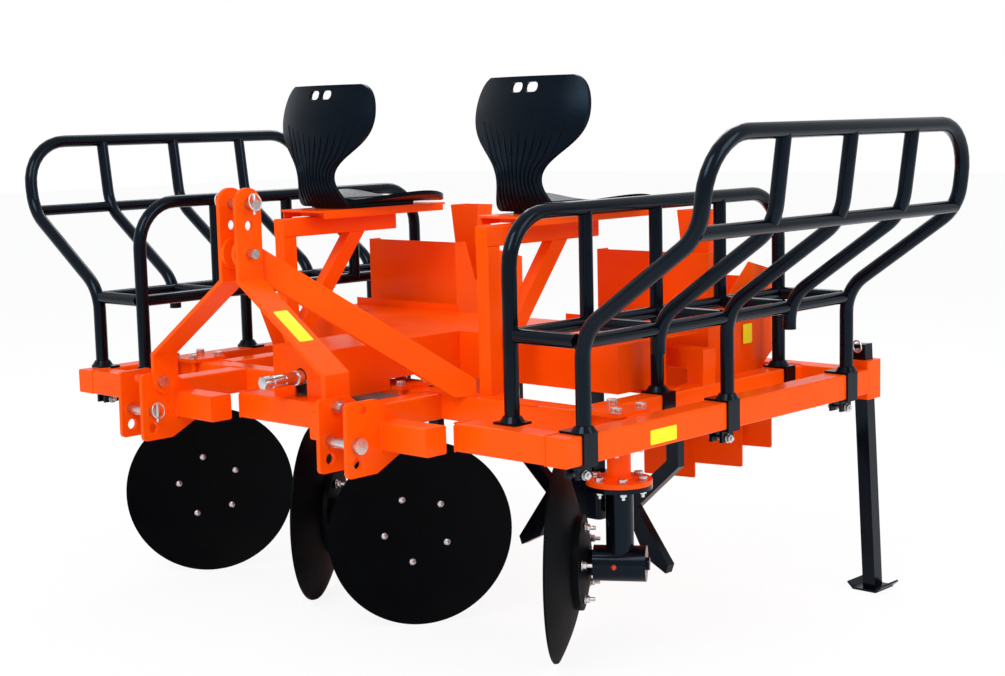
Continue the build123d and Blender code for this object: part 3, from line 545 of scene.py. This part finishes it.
def beadRow(length):
    clearPick()
    bpy.ops.mesh.primitive_uv_sphere_add(segments=8, ring_count=6, radius=bead["radius"] * mm)
    stretch(bead["flat"], bead["flat"], 1)
    row = current()
    useModifier(row, "ARRAY", count=max(2, int(length / bead["step"])), use_relative_offset=False,
                use_constant_offset=True, constant_offset_displace=(0, 0, bead["step"] * mm))
    return row


# where the frame's welds run: over the beams, up their front joints, round the seat posts and rack feet
welds = dict(top=638, beam=66, endX=(203, 622, 911), endY=-592, endLow=571, endTall=64, railX=911,
             railY=(-288, 684), stepX=(205, 554), stepY=-290, innerX=742, innerY=(-220, 682),
             plateX=(357, 369, 456, 468), plateY=-691, plateLow=570, plateLong=60, seatX=409, seatY=-237,
             seatHalfX=21, seatHalfY=25, rackY=240, rackHalf=28, proud=2)
top, beam, proud = welds["top"], welds["beam"], welds["proud"]

# seams of one side: distance from the middle plane, shift to the right, y, z, way, length
seams = []
for x in welds["endX"]:
    seams += [(x, 0, welds["endY"], top, alongY, beam),
              (x, 0, welds["endY"] - proud, welds["endLow"], alongZ, welds["endTall"])]
seams += [(welds["railX"], 0, y, top, alongY, beam) for y in welds["railY"]]
seams += [(x + beam / 2, -beam / 2, welds["stepY"], top, alongX, beam) for x in welds["stepX"]]
seams += [(welds["innerX"], -beam / 2, y, top, alongX, beam) for y in welds["innerY"]]
for x in welds["plateX"]:
    seams += [(x, 0, welds["plateY"], top, alongY, welds["plateLong"]),
              (x, 0, welds["plateY"] - proud, welds["plateLow"], alongZ, beam)]
halfX, halfY, seatFront = welds["seatHalfX"], welds["seatHalfY"], welds["seatY"] - welds["seatHalfY"]
seams += [(welds["seatX"], -halfX, welds["seatY"] + dy, top, alongX, 2 * halfX) for dy in (-halfY, halfY)]
seams += [(welds["seatX"], dx, seatFront, top, alongY, 2 * halfY) for dx in (-halfX, halfX)]
half, rackFront = welds["rackHalf"], welds["rackY"] - welds["rackHalf"]
seams += [(welds["innerX"], -half, welds["rackY"] + dy, top, alongX, 2 * half) for dy in (-half, half)]
seams.append((welds["innerX"] + half, 0, rackFront, top, alongY, 2 * half))
rows, parts = {}, []
for side in hands.values():
    for x, shift, y, z, way, length in seams:
        if length not in rows:
            rows[length] = beadRow(length)
        parts += copies(rows[length], [((side * x + shift, y, z), way)])
finishPiece(parts, "frameWelds", "frame", "orange_paint", smooth=60)
dropModels(*rows.values())

# welds round the leg posts and the leg tubes: piece, slot, ring radius, heights
collars = dict(wire=3.5, pieces=[
    ("postWelds", "orange_paint", 30, (471, 555)), ("legWelds", "black_paint", 35, (445,)),
])
for name, slotName, radius, heights in collars["pieces"]:
    ring = wireRing(radius, collars["wire"])
    spots = [((*disc["leg"], z), alongZ) for disc in discs.values() for z in heights]
    finishPiece(copies(ring, spots), name, "frame", slotName)
    dropModels(ring)
print("welds done")

# blank stickers: name, centre, width and height, which way the face looks
stickers = dict(thick=0.4, corner=4, cornerSteps=4, rim=1.6, lift=0.15, places=[
    ("railSticker", (981.2, -238, 595), (104, 36), (1, 0, 0)),
    ("boxSticker", (690.3, 533, 740), (44, 56), (1, 0, 0)),
    ("mastSticker", (199, -730, 861.4), (46, 122), (0.564, 0, 0.826)),
])
for name, place, size, way in stickers["places"]:
    clearPick()
    bpy.ops.mesh.primitive_plane_add(size=1)
    bpy.ops.object.mode_set(mode="EDIT")
    bpy.ops.mesh.select_all(action="SELECT")
    bpy.ops.transform.resize(value=(size[0] * mm, size[1] * mm, 1))
    bpy.ops.mesh.bevel(offset=stickers["corner"] * mm, segments=stickers["cornerSteps"], affect="VERTICES")
    bpy.ops.mesh.inset(thickness=stickers["rim"] * mm)
    bpy.ops.transform.translate(value=(0, 0, stickers["lift"] * mm))
    bpy.ops.object.mode_set(mode="OBJECT")
    patch = current()
    useModifier(patch, "SOLIDIFY", thickness=stickers["thick"] * mm)
    finishPiece(copies(patch, [(place, way)]), name, "frame", "orange_paint", "stickerYellow")
    dropModels(patch)
print("stickers done")


# second shader by that share where the camera sees it straight or through glass, the first one elsewhere
def mixSeen(tree, share, first, second, output):
    rays = addNode(tree, "LightPath", {}, {})
    seen = Value(tree, rays.outputs["Is Camera Ray"]) + Value(tree, rays.outputs["Is Transmission Ray"])
    both = addNode(tree, "MixShader", {}, {0: seen * share, 1: first.outputs[0], 2: second.outputs[0]})
    tree.links.new(both.outputs[0], tree.nodes[output].inputs["Surface"])


# pale studio: floor that glows to the camera but keeps its shadow, white world; floor size in metres
studio = dict(floor=0.95, floorRough=0.9, floorSize=60, open=0.9, sky=0.75, skyColor=(0.95, 0.97, 1, 1))
whiteLight = {"Color": (1, 1, 1, 1), "Strength": 1}
bpy.ops.mesh.primitive_plane_add(size=studio["floorSize"], location=(0, 0, 0))
floor = bpy.context.object
floor.name = "studioFloor"
floorMat = bpy.data.materials.new("studioWhite")
floorMat.use_nodes = True
tree = floorMat.node_tree
paleShader = tree.nodes["Principled BSDF"]
paleShader.inputs["Base Color"].default_value = (*[studio["floor"]] * 3, 1)
paleShader.inputs["Roughness"].default_value = studio["floorRough"]
mixSeen(tree, studio["open"], paleShader, addNode(tree, "Emission", {}, whiteLight), "Material Output")
floor.data.materials.append(floorMat)

world = bpy.data.worlds.new("studio")
bpy.context.scene.world = world
world.use_nodes = True
tree = world.node_tree
sky = tree.nodes["Background"]
sky.inputs["Color"].default_value = studio["skyColor"]
sky.inputs["Strength"].default_value = studio["sky"]
mixSeen(tree, 1, sky, addNode(tree, "Background", {}, whiteLight), "World Output")

# soft square lamps: metres, degrees, watts
lamps = {
    "keyLamp": dict(at=(1.5, -4.5, 5.0), turn=(45, 0, 15), size=3.0, power=190),
    "sideLamp": dict(at=(5.5, 1.0, 3.5), turn=(60, 0, 100), size=3.0, power=110),
    "backLamp": dict(at=(-3.0, 3.5, 4.5), turn=(-45, 0, 40), size=3.0, power=90),
}
for name, lamp in lamps.items():
    bpy.ops.object.light_add(type="AREA", location=lamp["at"], rotation=[radians(a) for a in lamp["turn"]])
    bpy.context.object.name = name
    bpy.context.object.data.size = lamp["size"]
    bpy.context.object.data.energy = lamp["power"]

# the photo's camera, from the fit to the frame's edges: metres, degrees
photoView = dict(place=(3.4861, -3.4813, 1.3624), turn=(82.71, 1.33, 42.9), lens=61.32, sensor=36)
bpy.ops.object.camera_add(location=photoView["place"], rotation=[radians(a) for a in photoView["turn"]])
cam = bpy.context.object
cam.name = "photoCamera"
cam.data.lens = photoView["lens"]
cam.data.sensor_width = photoView["sensor"]
bpy.context.scene.camera = cam
bpy.context.scene.view_settings.view_transform = "Standard"
print("stage done")
